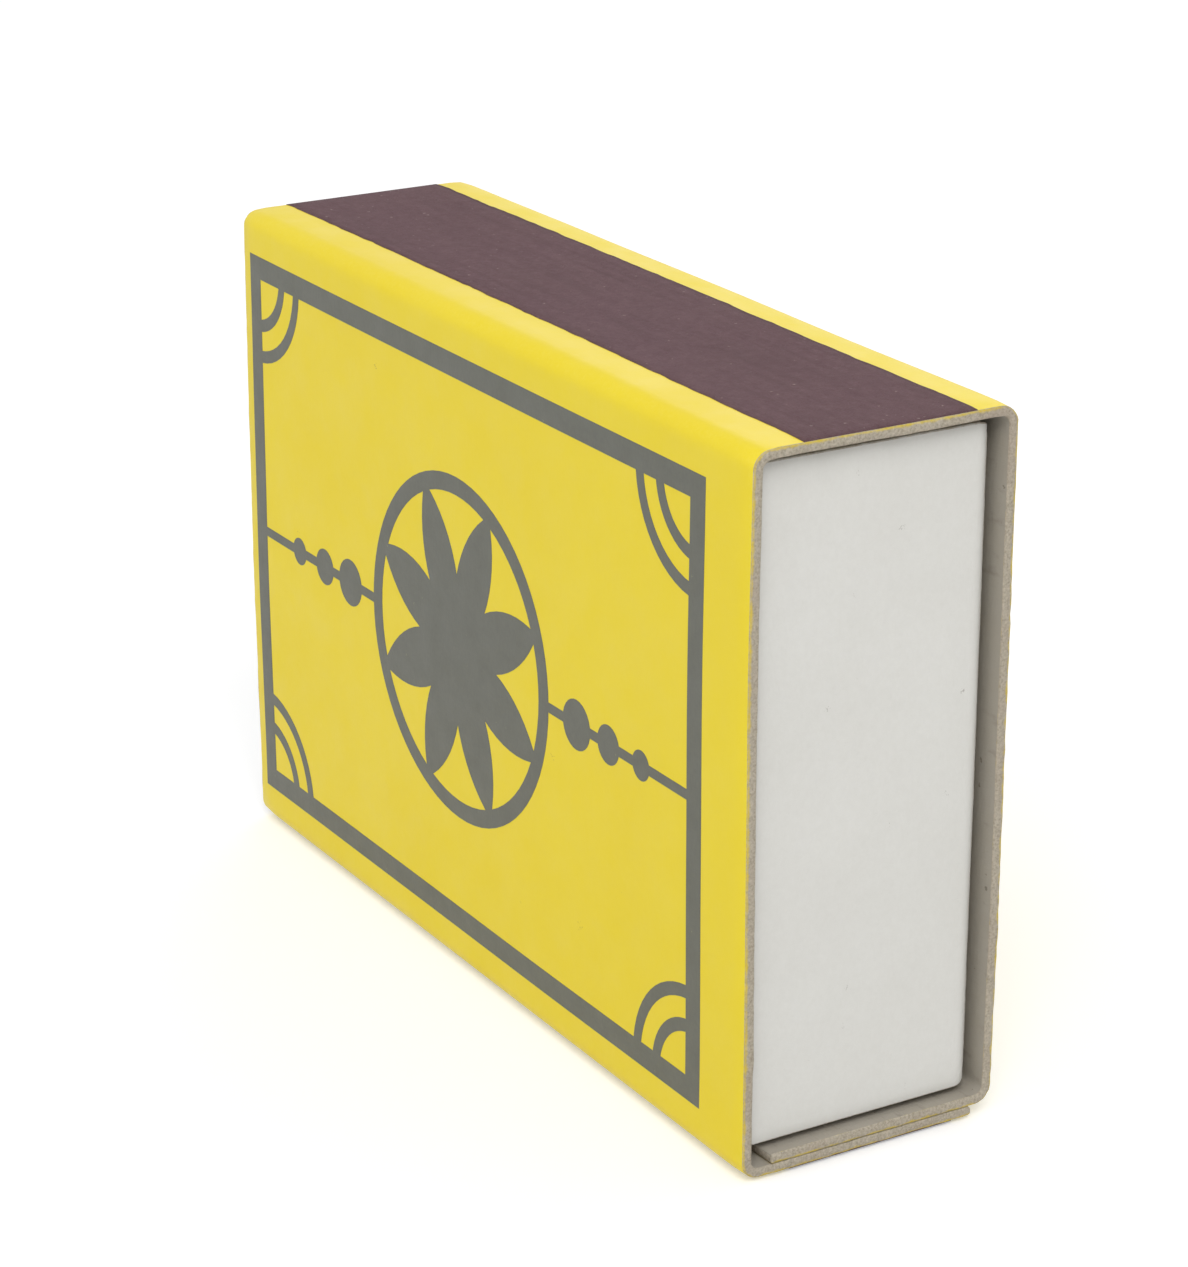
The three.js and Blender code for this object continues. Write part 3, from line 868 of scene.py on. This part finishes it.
def build_world():
    world = bpy.data.worlds.new("studio")
    bpy.context.scene.world = world
    world.use_nodes = True
    tree = world.node_tree
    background = tree.nodes["Background"]
    strength = tree.nodes.new("ShaderNodeMapRange")
    strength.inputs["To Min"].default_value = WORLD_LIGHT
    strength.inputs["To Max"].default_value = 1.0
    tree.links.new(background_seen(tree), strength.inputs["Value"])
    tree.links.new(strength.outputs[0], background.inputs["Strength"])
    background.inputs["Color"].default_value = (1, 1, 1, 1)


def add_lamp(name, offset, power, size, target):
    lamp = bpy.data.lights.new(name, "AREA")
    lamp.energy = power
    lamp.size = size * MM
    holder = bpy.data.objects.new(name, lamp)
    holder.location = target + Vector(offset) * MM
    holder.rotation_euler = (-Vector(offset)).to_track_quat("-Z", "Y").to_euler()
    bpy.context.scene.collection.objects.link(holder)


def build_camera(target):
    lens = bpy.data.cameras.new("camera")
    lens.lens = CAMERA_LENS
    lens.sensor_width = 36
    lens.clip_start = 0.01
    camera = bpy.data.objects.new("camera", lens)
    camera.location = target + Vector(CAMERA_OFFSET) * MM
    camera.rotation_euler = (-Vector(CAMERA_OFFSET)).to_track_quat("-Z", "Y").to_euler()
    bpy.context.scene.collection.objects.link(camera)
    bpy.context.scene.camera = camera


def main():
    centre = (cad_box[0] + cad_box[1]) / 2
    build_camera(centre)
    yellow, board = yellow_print(), raw_board()
    ink, coat = printed_ink(), striker_coat()
    build_sleeve([yellow, cut_edge("sleeve_edge", YELLOW_DEEP), board])
    build_label("label_ink_front", "label_print_front", -1, ink)
    build_label("label_ink_back", "label_print_back", 1, ink)
    build_striker("striker_top", "striker_coat_top", 1, coat)
    build_striker("striker_bottom", "striker_coat_bottom", -1, coat)
    build_tray([white_liner(), cut_edge("tray_edge", WHITE_LINER), board])
    wood, head = match_wood(), match_head()
    for node in sorted(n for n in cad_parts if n.startswith("match_")):
        build_match(node, wood, head)
    build_floor()
    build_world()
    for name, (offset, power, size) in LAMPS.items():
        add_lamp(name, offset, power, size, centre)
    bpy.context.scene.view_settings.view_transform = "Standard"


main()
